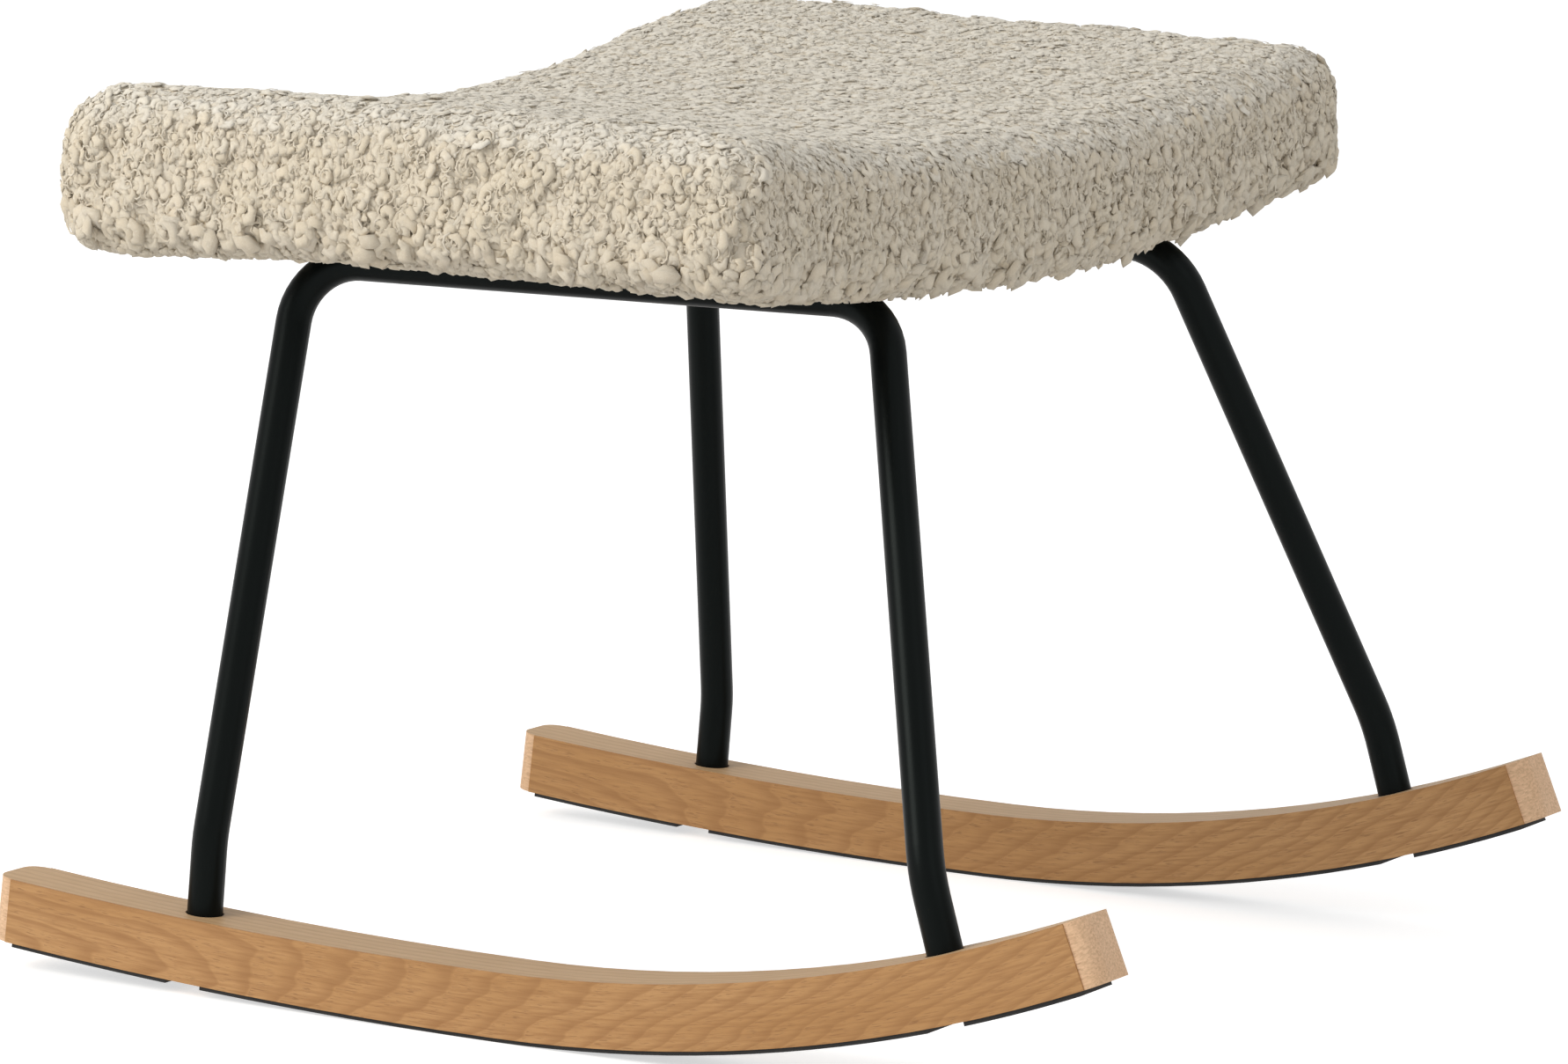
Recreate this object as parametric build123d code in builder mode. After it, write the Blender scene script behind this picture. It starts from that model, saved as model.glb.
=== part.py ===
"""Rocking footstool: a dished, fleece-covered seat on two bent steel tubes and two wooden rockers.

Millimetres, +Z up, +X towards the front, origin on the floor under the middle of the rockers.
The right-hand side is -Y. The left-hand pieces are mirror images of the right-hand ones.
"""
import math
import os

from build123d import *

os.makedirs("parts", exist_ok=True)

# Rockers: the sole curve has a flat sweep behind the touch line and a tighter one ahead of it.
rocker_spacing = 464.0
rocker_width = 33.0
rocker_height = 29.0
sole_behind = 250.0
sole_ahead = 314.0
rear_sweep_radius = 2700.0
front_sweep_radius = 745.0
sweep_join_distance = 15.0
rocker_corner_radius = 9.0
veneer_thickness = 0.8

# Grip strips under the rockers, parted below each foot.
strip_thickness = 2.0
strip_width = 30.0
strip_gap = 18.0
strip_end_margin = 12.0

# Leg frames: one bent tube a side. Feet are measured along the sole from the touch line, and
# the ends of the crossbar in from the side of the seat.
tube_diameter = 16.0
tube_wall = 1.5
rear_foot = 147.0
front_foot = 236.0
ankle_height = 34.0
crossbar_height = 323.6
crossbar_rear = 133.5
crossbar_front = 137.5
crossbar_rear_inset = 116.0
crossbar_front_inset = 154.0
shoulder_radius = 30.0
ankle_radius = 60.0

# Foot fixings: a threaded plug in each tube end, drawn down by a screw from under the rocker.
socket_depth = 13.0
socket_clearance = 0.6
plug_length = 22.0
plug_clearance = 0.05
foot_screw_diameter = 6.0
foot_screw_grip = 14.0
foot_head_diameter = 10.0
foot_head_height = 5.0
foot_washer_diameter = 13.0
foot_washer_thickness = 1.2
counterbore_clearance = 1.0
screw_clearance = 0.3

# Seat pad, outer faces of the fleece. Heights of the top are above the underside of the shell.
seat_rear = 187.0
seat_front = 153.0
seat_width = 592.0
dish_sag = 13.0
rear_edge_rise = 72.0
middle_edge_rise = 74.0
front_edge_rise = 71.0
rear_centre_rise = 46.0
middle_centre_rise = 52.0
front_centre_rise = 50.0
waterfall_start = 70.0
side_bulge = 5.0
top_edge_radius = 20.0
lower_edge_radius = 12.0
rear_end_radius = 16.0
front_end_radius = 18.0
fleece_thickness = 5.0

# Seat insides: a bent plywood shell under the foam, and a dust cover inside the fleece hem.
shell_thickness = 9.0
shell_margin = 1.0
shell_clearance = 0.1
shell_corner_radius = 24.0
hem_lap = 23.0
hem_corner_radius = 18.0
dust_cover_thickness = 0.8
dust_cover_clearance = 1.0

# Seat fixings: a screw in each end of a crossbar, up into a tee nut in the shell. Its head goes in
# by a capped hole under the tube and bears on a washer inside, so nothing stands out below.
seat_screw_inset = 52.0
seat_screw_diameter = 6.0
seat_head_diameter = 10.0
seat_head_height = 5.0
seat_washer_diameter = 10.6
seat_washer_rim = 0.6
cap_slack = 0.1
saddle_diameter = 22.0
saddle_height = 5.0
saddle_wrap = 4.0
tee_barrel_diameter = 8.0
tee_barrel_length = 8.0
tee_flange_diameter = 18.0
tee_flange_thickness = 1.2

# Staples along the fleece hem and the dust cover.
staple_crown = 10.0
staple_wire = 0.9
staple_bite = 5.0
staple_pitch = 62.0
hem_staple_line = 11.0
cover_staple_line = 9.0
staple_slack = 0.1

# Places worked out from the sizes above.
rocker_y = rocker_spacing / 2
rocker_top = strip_thickness + rocker_height
tube_radius = tube_diameter / 2
plug_diameter = tube_diameter - 2 * tube_wall - 2 * plug_clearance
join_angle = sweep_join_distance / rear_sweep_radius
counterbore_depth = foot_head_height + foot_washer_thickness + strip_thickness / 2
dish_radius = ((seat_width / 2) ** 2 + dish_sag**2) / (2 * dish_sag)
shell_reach = max(rear_end_radius, front_end_radius, lower_edge_radius) + shell_margin
hem_reach = shell_reach + hem_lap
cover_reach = hem_reach + dust_cover_clearance
standing = (Align.CENTER, Align.CENTER, Align.MIN)
hung = (Align.CENTER, Align.CENTER, Align.MAX)


def sole_heading(along):
    """Slope, in radians, of the sole at a distance along it from the touch line."""
    if along <= sweep_join_distance:
        return along / rear_sweep_radius
    return join_angle + (along - sweep_join_distance) / front_sweep_radius


def sole_offset(along, above):
    """Place (x, z) from the touch line, standing square to the sole, a height above it."""
    heading = sole_heading(along)
    arm = rear_sweep_radius - above
    centre_x = 0
    centre_z = rear_sweep_radius
    if along > sweep_join_distance:
        step = rear_sweep_radius - front_sweep_radius
        arm -= step
        centre_x += step * math.sin(join_angle)
        centre_z -= step * math.cos(join_angle)
    return centre_x + arm * math.sin(heading), centre_z - arm * math.cos(heading)


# The touch line stands where the two tips of a rocker are equally far from the origin.
rear_tip = sole_offset(-sole_behind, strip_thickness)[0]
front_tip = sole_offset(sole_ahead, strip_thickness)[0]
touch_x = -(rear_tip + front_tip) / 2
rear_seat_x = touch_x - seat_rear
front_seat_x = touch_x + seat_front
waterfall_x = touch_x + waterfall_start


def sole_point(along, above):
    """Point (x, z) of the part, standing square to the sole, a height above it."""
    x, z = sole_offset(along, above)
    return touch_x + x, z


def sole_plane(along, above, facing_up=True):
    """Plane on the right rocker's middle, square to the sole, facing up or down."""
    x, z = sole_point(along, above)
    heading = sole_heading(along)
    up = Vector(-math.sin(heading), 0, math.cos(heading))
    return Plane(origin=(x, -rocker_y, z), x_dir=(0, 1, 0), z_dir=up if facing_up else -up)


def sole_band(start, end, low, high):
    """Outline of a band along the sole between two stations and two heights."""
    stops = [start, end]
    if start < sweep_join_distance < end:
        stops = [start, sweep_join_distance, end]
    spans = list(zip(stops, stops[1:]))
    for first, last in spans:
        middle = (first + last) / 2
        ThreePointArc(sole_point(first, low), sole_point(middle, low), sole_point(last, low))
        ThreePointArc(sole_point(first, high), sole_point(middle, high), sole_point(last, high))
    Line(sole_point(start, low), sole_point(start, high))
    Line(sole_point(end, low), sole_point(end, high))


def dish_rise(y):
    """Rise of the dished shell at a distance across the seat from its middle."""
    return dish_radius - math.sqrt(dish_radius**2 - y**2)


def dish_plane(x, y, drop, turned):
    """Plane square to the shell's underside, a distance below it, facing down."""
    slope = math.asin(y / dish_radius)
    down = Vector(0, math.sin(slope), -math.cos(slope))
    across = Vector(0, math.cos(slope), math.sin(slope))
    place = Vector(x, y, shell_underside + dish_rise(y)) + down * drop
    return Plane(origin=place, x_dir=across if turned else (1, 0, 0), z_dir=down)


def dish_band(low, high, reach):
    """Outline across the seat between two heights above the shell's underside."""
    for level in (low, high):
        edge = dish_rise(reach)
        left = (-reach, shell_underside + edge + level)
        right = (reach, shell_underside + edge + level)
        ThreePointArc(left, (0, shell_underside + level), right)
    for side in (-reach, reach):
        Line((side, shell_underside + edge + low), (side, shell_underside + edge + high))


def save(piece, name):
    """Label a finished piece and write it to its own file."""
    piece.part.label = name
    export_step(piece.part, f"parts/{name}.step")


def save_pair(piece, name):
    """Write a right-hand piece and its left-hand mirror image."""
    with BuildPart() as twin:
        mirror(piece.part, about=Plane.XZ)
    save(piece, f"right_{name}")
    save(twin, f"left_{name}")


# Rocker cores: bent blanks with ends rounded in plan, a socket for each foot and a counterbore below it.
core_width = rocker_width - 2 * veneer_thickness
with BuildPart() as rocker:
    with BuildSketch(Plane.XZ.offset(rocker_y)):
        with BuildLine():
            sole_band(-sole_behind, sole_ahead, strip_thickness, rocker_top)
        make_face()
    extrude(amount=core_width / 2, both=True)
    end_edges = rocker.edges().filter_by(GeomType.LINE).filter_by(lambda edge: abs((edge % 0.5).Y) < 0.5)
    fillet(end_edges, rocker_corner_radius)
    for foot in (-rear_foot, front_foot):
        with Locations(sole_plane(foot, rocker_top + strip_thickness)):
            Hole(tube_radius + socket_clearance, socket_depth + strip_thickness)
        with Locations(sole_plane(foot, strip_thickness / 2, facing_up=False)):
            CounterBoreHole(
                foot_screw_diameter / 2 + screw_clearance,
                foot_washer_diameter / 2 + counterbore_clearance,
                counterbore_depth,
                rocker_height,
            )
save_pair(rocker, "rocker")

# Face veneers on both sides of each rocker, stopping where the ends start to round.
with BuildPart() as veneers:
    for side in (-1, 1):
        with BuildSketch(Plane.XZ.offset(rocker_y + side * core_width / 2)):
            with BuildLine():
                sole_band(
                    rocker_corner_radius - sole_behind,
                    sole_ahead - rocker_corner_radius,
                    strip_thickness,
                    rocker_top,
                )
            make_face()
        extrude(amount=side * veneer_thickness)
save_pair(veneers, "rocker_veneers")

# Grip strips, three lengths a rocker.
strip_ends = {
    "rear": (strip_end_margin - sole_behind, -rear_foot - strip_gap / 2),
    "middle": (-rear_foot + strip_gap / 2, front_foot - strip_gap / 2),
    "front": (front_foot + strip_gap / 2, sole_ahead - strip_end_margin),
}
for place, (start, end) in strip_ends.items():
    with BuildPart() as strip:
        with BuildSketch(Plane.XZ.offset(rocker_y)):
            with BuildLine():
                sole_band(start, end, 0, strip_thickness)
            make_face()
        extrude(amount=strip_width / 2, both=True)
    save_pair(strip, f"{place}_grip_strip")

# Leg frames: tube from socket to ankle, shoulder, crossbar and down again, with its cross holes.
rear_shoulder = Vector(touch_x - crossbar_rear, crossbar_rear_inset - seat_width / 2, crossbar_height)
front_shoulder = Vector(touch_x + crossbar_front, crossbar_front_inset - seat_width / 2, crossbar_height)
crossbar_run = front_shoulder - rear_shoulder
seat_screws = [
    rear_shoulder + crossbar_run.normalized() * seat_screw_inset,
    front_shoulder - crossbar_run.normalized() * seat_screw_inset,
]
foot_floor = rocker_top - socket_depth
with BuildPart() as leg_frame:
    with BuildLine() as tube_path:
        FilletPolyline(
            sole_plane(-rear_foot, foot_floor).origin,
            sole_plane(-rear_foot, rocker_top + ankle_height).origin,
            rear_shoulder,
            front_shoulder,
            sole_plane(front_foot, rocker_top + ankle_height).origin,
            sole_plane(front_foot, foot_floor).origin,
            radius=[ankle_radius, shoulder_radius, shoulder_radius, ankle_radius],
        )
    with BuildSketch(Plane(origin=tube_path.line @ 0, z_dir=tube_path.line % 0)):
        Circle(tube_radius)
        Circle(tube_radius - tube_wall, mode=Mode.SUBTRACT)
    sweep()
    with Locations(*[Plane(point) for point in seat_screws]):
        Cylinder(seat_screw_diameter / 2 + screw_clearance, tube_diameter, mode=Mode.SUBTRACT)
        Cylinder(
            seat_washer_diameter / 2 + screw_clearance, tube_diameter, align=hung, mode=Mode.SUBTRACT
        )
save_pair(leg_frame, "leg_frame")

# Threaded plugs in the tube ends.
feet = (-rear_foot, front_foot)
with BuildPart() as plugs:
    for foot in feet:
        with BuildSketch(sole_plane(foot, foot_floor)):
            Circle(plug_diameter / 2)
            Circle(foot_screw_diameter / 2 + plug_clearance, mode=Mode.SUBTRACT)
        extrude(amount=plug_length)
save_pair(plugs, "foot_plugs")

# Foot screws with their washers, in the counterbores under the rockers.
washer_level = strip_thickness / 2 + counterbore_depth
with BuildPart() as foot_screws:
    for foot in feet:
        with BuildSketch(sole_plane(foot, washer_level - foot_washer_thickness, facing_up=False)):
            Circle(foot_head_diameter / 2)
            RegularPolygon(foot_head_diameter / 4, 6, mode=Mode.SUBTRACT)
        extrude(amount=foot_head_height)
        with BuildSketch(sole_plane(foot, washer_level - foot_washer_thickness - foot_head_height / 2)):
            Circle(foot_screw_diameter / 2)
        extrude(amount=foot_head_height / 2 + foot_washer_thickness + foot_screw_grip)
    mirror(about=Plane.XZ)
save(foot_screws, "foot_screws")

with BuildPart() as foot_washers:
    for foot in feet:
        with BuildSketch(sole_plane(foot, washer_level, facing_up=False)):
            Circle(foot_washer_diameter / 2)
            Circle(foot_screw_diameter / 2 + plug_clearance, mode=Mode.SUBTRACT)
        extrude(amount=foot_washer_thickness)
    mirror(about=Plane.XZ)
save(foot_washers, "foot_washers")

# The shell rests on the saddles: the shortest saddle is under its lowest screw.
crossbar_top = crossbar_height + tube_radius
lowest_screw_rise = dish_rise(min(abs(screw.Y) for screw in seat_screws))
cover_underside = -shell_clearance - dust_cover_thickness
shell_underside = crossbar_top + saddle_height - cover_underside - lowest_screw_rise


def pad_section(x, edge_rise, centre_rise, inset):
    """Dished section across the pad: crowned edges, bulged sides and rounded corners."""
    half = seat_width / 2 - side_bulge - inset
    low = shell_underside - shell_clearance - fleece_thickness + inset
    low_edge = low + dish_rise(half)
    top_edge = shell_underside + edge_rise - inset
    waist = (low_edge + top_edge) / 2
    with BuildSketch(Plane.YZ.offset(x)) as section:
        with BuildLine():
            ThreePointArc((-half, low_edge), (0, low), (half, low_edge))
            ThreePointArc((half, low_edge), (half + side_bulge, waist), (half, top_edge))
            ThreePointArc((half, top_edge), (0, shell_underside + centre_rise - inset), (-half, top_edge))
            ThreePointArc((-half, top_edge), (-half - side_bulge, waist), (-half, low_edge))
        make_face()
        fillet(section.vertices().sort_by(Axis.Y)[:2], lower_edge_radius - inset)
        fillet(section.vertices().sort_by(Axis.Y)[-2:], top_edge_radius - inset)
    return section.sketch


def pad_form(inset):
    """Solid of the whole pad, a distance inside the face of the fleece."""
    with BuildPart() as pad:
        add(pad_section(rear_seat_x + inset, rear_edge_rise, rear_centre_rise, inset))
        add(pad_section(waterfall_x, middle_edge_rise, middle_centre_rise, inset))
        add(pad_section(front_seat_x - inset, front_edge_rise, front_centre_rise, inset))
        loft()
        fillet(pad.faces().sort_by(Axis.X)[0].edges(), rear_end_radius - inset)
        fillet(pad.faces().sort_by(Axis.X)[-1].edges(), front_end_radius - inset)
    return pad.part


seat_length = front_seat_x - rear_seat_x
seat_middle = (front_seat_x + rear_seat_x) / 2


def plan_outline(margin, corner_radius):
    """Rounded rectangle in plan, a margin inside the pad."""
    with BuildSketch(Plane.XY.offset(shell_underside - seat_length)) as plan:
        with Locations((seat_middle, 0)):
            RectangleRounded(seat_length - 2 * margin, seat_width - 2 * margin, corner_radius)
    return plan.sketch


def dished_sheet(low, high, margin, corner_radius):
    """Sheet bent to the dish between two heights above the shell's underside."""
    with BuildPart() as sheet:
        with BuildSketch(Plane.YZ.offset(rear_seat_x)):
            with BuildLine():
                dish_band(low, high, seat_width / 2)
            make_face()
        extrude(amount=seat_length)
        add(plan_outline(margin, corner_radius))
        extrude(amount=2 * seat_length, mode=Mode.INTERSECT)
    return sheet.part


def staple_rows(line, drop):
    """Planes of the staples round a rectangle, a distance inside the pad."""
    half_length = seat_length / 2 - line
    half_width = seat_width / 2 - line
    planes = []
    for half_run, half_across, turned in ((half_length, half_width, False), (half_width, half_length, True)):
        count = round(2 * half_run / staple_pitch)
        for number in range(count):
            run = (number + 0.5) * 2 * half_run / count - half_run
            for across in (-half_across, half_across):
                x, y = (across, run) if turned else (run, across)
                planes.append(dish_plane(seat_middle + x, y, drop, turned))
    return planes


def staple(drop):
    """One staple: its crown below the cloth and two legs up into the shell."""
    leg = drop + staple_bite
    with BuildPart() as wire:
        with Locations((0, 0, staple_wire / 2)):
            Box(staple_crown + staple_wire, staple_wire, staple_wire)
        with Locations((-staple_crown / 2, 0, -leg / 2), (staple_crown / 2, 0, -leg / 2)):
            Box(staple_wire, staple_wire, leg)
    return wire.part


def screw_planes(level):
    """Upright planes on the axes of all four seat screws, at one height."""
    return [Plane((screw.X, side * screw.Y, level)) for screw in seat_screws for side in (1, -1)]


def crossbar_bars(radius):
    """Solid bars where the two crossbars run, for shaping what meets the tube."""
    middle = (rear_shoulder + front_shoulder) / 2
    with BuildPart() as bars:
        with Locations(Plane(middle, z_dir=crossbar_run)):
            Cylinder(radius, crossbar_run.length)
        mirror(about=Plane.XZ)
    return bars.part


# Staples: one row through the fleece hem and one through the dust cover.
hem_drop = shell_clearance + fleece_thickness + staple_slack
hem_planes = staple_rows(shell_reach + hem_staple_line, hem_drop)
with BuildPart() as hem_staples:
    with Locations(*hem_planes):
        add(staple(hem_drop))
save(hem_staples, "hem_staples")

cover_drop = staple_slack - cover_underside
cover_planes = staple_rows(cover_reach + cover_staple_line, cover_drop)
with BuildPart() as cover_staples:
    with Locations(*cover_planes):
        add(staple(cover_drop))
save(cover_staples, "dust_cover_staples")

# Tee nuts: flanges let into the top of the shell, barrels down through it.
tee_levels = [
    shell_underside + shell_thickness + dish_rise(plane.origin.Y) for plane in screw_planes(0)
]
tee_planes = [
    Plane((plane.origin.X, plane.origin.Y, level)) for plane, level in zip(screw_planes(0), tee_levels)
]
with BuildPart() as tee_nuts:
    with Locations(*tee_planes):
        Cylinder(tee_flange_diameter / 2, tee_flange_thickness, align=hung)
        Cylinder(tee_barrel_diameter / 2, tee_barrel_length, align=hung)
        Cylinder(
            seat_screw_diameter / 2 + plug_clearance, 2 * tee_barrel_length, mode=Mode.SUBTRACT
        )
save(tee_nuts, "tee_nuts")

# Shell: bent plywood, bored for the tee nuts and spot-faced for their flanges.
with BuildPart() as shell:
    add(dished_sheet(0, shell_thickness, shell_reach, shell_corner_radius))
    with Locations(*tee_planes):
        Cylinder(tee_barrel_diameter / 2, 3 * shell_thickness, mode=Mode.SUBTRACT)
        Cylinder(tee_flange_diameter / 2, tee_flange_thickness, align=hung, mode=Mode.SUBTRACT)
        Cylinder(tee_flange_diameter / 2, shell_thickness, align=standing, mode=Mode.SUBTRACT)
    with Locations(*hem_planes):
        add(staple(hem_drop), mode=Mode.SUBTRACT)
    with Locations(*cover_planes):
        add(staple(cover_drop), mode=Mode.SUBTRACT)
save(shell, "seat_shell")

# Foam: fills the pad over the shell and down round its edges.
with BuildPart() as foam:
    add(pad_form(fleece_thickness))
    add(
        dished_sheet(-fleece_thickness, shell_thickness, shell_reach, shell_corner_radius),
        mode=Mode.SUBTRACT,
    )
    with Locations(*tee_planes):
        Cylinder(tee_flange_diameter / 2, 2 * tee_flange_thickness, mode=Mode.SUBTRACT)
save(foam, "foam_pad")

# Fleece cover: a skin all round the foam, turned under the shell in a hem.
with BuildPart() as cover:
    add(pad_form(0))
    add(pad_form(fleece_thickness), mode=Mode.SUBTRACT)
    add(plan_outline(hem_reach, hem_corner_radius))
    extrude(amount=seat_length + dish_sag + shell_thickness, mode=Mode.SUBTRACT)
    with Locations(*hem_planes):
        add(staple(hem_drop), mode=Mode.SUBTRACT)
save(cover, "fleece_cover")

# Dust cover: black cloth on the shell inside the hem, pierced for the seat screws.
with BuildPart() as dust_cover:
    add(dished_sheet(cover_underside, -shell_clearance, cover_reach, hem_corner_radius))
    with Locations(*tee_planes):
        Cylinder(seat_screw_diameter / 2 + screw_clearance, 4 * shell_thickness, mode=Mode.SUBTRACT)
    with Locations(*cover_planes):
        add(staple(cover_drop), mode=Mode.SUBTRACT)
save(dust_cover, "dust_cover")

# Saddles between crossbar and dust cover, hollowed to the tube and cut to the dish.
with BuildPart() as saddles:
    with Locations(*screw_planes(crossbar_top - saddle_wrap)):
        Cylinder(saddle_diameter / 2, saddle_wrap + saddle_height + dish_sag, align=standing)
    with BuildSketch(Plane.YZ.offset(rear_seat_x)):
        with BuildLine():
            dish_band(-tube_diameter, cover_underside, seat_width / 2)
        make_face()
    extrude(amount=seat_length, mode=Mode.INTERSECT)
    add(crossbar_bars(tube_radius), mode=Mode.SUBTRACT)
    with Locations(*screw_planes(crossbar_top)):
        Cylinder(seat_screw_diameter / 2 + screw_clearance, 4 * tube_diameter, mode=Mode.SUBTRACT)
save(saddles, "crossbar_saddles")

# Seat screws inside the crossbars, each on a washer rounded to the bore of the tube.
bore_radius = tube_radius - tube_wall
washer_rim_level = crossbar_height + math.sqrt(bore_radius**2 - (seat_washer_diameter / 2) ** 2)
head_level = washer_rim_level - seat_washer_rim
with BuildPart() as seat_washers:
    with Locations(*screw_planes(head_level)):
        Cylinder(seat_washer_diameter / 2, tube_radius, align=standing)
    add(crossbar_bars(bore_radius), mode=Mode.INTERSECT)
    with Locations(*screw_planes(head_level)):
        Cylinder(seat_screw_diameter / 2 + plug_clearance, tube_diameter, mode=Mode.SUBTRACT)
save(seat_washers, "seat_washers")

# Caps that close the holes under the crossbars, flush with the outside of the tubes.
with BuildPart() as caps:
    with Locations(*screw_planes(crossbar_height)):
        Cylinder(seat_washer_diameter / 2 + screw_clearance - cap_slack, tube_diameter, align=hung)
    add(crossbar_bars(tube_radius), mode=Mode.INTERSECT)
    add(crossbar_bars(bore_radius), mode=Mode.SUBTRACT)
save(caps, "crossbar_caps")

screw_tip = min(tee_levels) - tee_flange_thickness
with BuildPart() as screws:
    with Locations(*screw_planes(head_level)):
        Cylinder(seat_screw_diameter / 2, screw_tip - head_level, align=standing)
        Cylinder(seat_head_diameter / 2, seat_head_height, align=hung)
    with BuildSketch(*screw_planes(head_level - seat_head_height)):
        RegularPolygon(seat_head_diameter / 4, 6)
    extrude(amount=seat_head_height / 2, mode=Mode.SUBTRACT)
save(screws, "seat_screws")
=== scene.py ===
"""Looks of the rocking footstool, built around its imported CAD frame. Metres, +Z up, +X towards the front."""
import math

import bmesh
import bpy
import numpy as np
from mathutils import Matrix, Vector


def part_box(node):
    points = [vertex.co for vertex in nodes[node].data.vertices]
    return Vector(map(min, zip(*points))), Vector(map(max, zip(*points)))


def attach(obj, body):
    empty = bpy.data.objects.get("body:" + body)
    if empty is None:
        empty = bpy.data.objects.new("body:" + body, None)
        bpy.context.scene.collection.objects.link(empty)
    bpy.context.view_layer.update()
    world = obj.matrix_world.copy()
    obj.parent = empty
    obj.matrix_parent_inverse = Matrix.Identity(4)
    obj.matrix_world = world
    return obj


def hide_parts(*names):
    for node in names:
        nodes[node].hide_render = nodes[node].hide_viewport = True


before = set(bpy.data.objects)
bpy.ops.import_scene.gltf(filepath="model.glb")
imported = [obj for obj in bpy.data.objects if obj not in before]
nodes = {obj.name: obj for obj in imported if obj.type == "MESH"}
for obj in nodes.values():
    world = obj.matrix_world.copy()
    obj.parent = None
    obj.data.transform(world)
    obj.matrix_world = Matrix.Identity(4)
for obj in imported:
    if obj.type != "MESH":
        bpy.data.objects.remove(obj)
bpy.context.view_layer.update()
scene = bpy.context.scene
scene.view_settings.view_transform = "Standard"


# Rockers: a bent core of plain pale hardwood with a sawn face veneer of ring-porous wood on both
# sides. The ends are rounded and sanded bare, so the veneer stops just short of them. Matt oiled.
def new_material(name):
    """A node material with its shader, and the tree that its pattern goes in."""
    made = bpy.data.materials.new(name)
    made.use_nodes = True
    return made, made.node_tree, made.node_tree.nodes["Principled BSDF"]


def place(tree, kind, settings=None, **feeds):
    """A node with its settings, each socket set to a value or joined to another node's output."""
    made = tree.nodes.new(kind)
    for key, value in (settings or {}).items():
        setattr(made, key, value)
    for key, value in feeds.items():
        by_number = key[0] == "_" and key[1:].isdigit()
        socket = made.inputs[int(key[1:]) if by_number else key.replace("_", " ")]
        if isinstance(value, bpy.types.NodeSocket):
            tree.links.new(value, socket)
        else:
            socket.default_value = value
    return made


def reckon(tree, operation, *terms, clamp=False):
    """One step of arithmetic on values."""
    feeds = {f"_{i}": term for i, term in enumerate(terms)}
    return place(tree, "ShaderNodeMath", {"operation": operation, "use_clamp": clamp}, **feeds).outputs[0]


def blend_colours(tree, share, first, second, kind="MIX"):
    """Two colours mixed by a share from 0 to 1."""
    feeds = {"_0": share, "_6": first, "_7": second}
    settings = {"data_type": "RGBA", "blend_type": kind}
    return place(tree, "ShaderNodeMix", settings, **feeds).outputs[2]


def ramp_between(tree, value, low, high):
    """0 below low, 1 above high, and smooth between them."""
    feeds = {"Value": value, "From_Min": low, "From_Max": high}
    return place(tree, "ShaderNodeMapRange", {"interpolation_type": "SMOOTHSTEP"}, **feeds).outputs[0]


touch_line_x = -0.0277
rocker_middle_y = 0.232
rear_sweep_radius = 2.7
front_sweep_radius = 0.745


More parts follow.
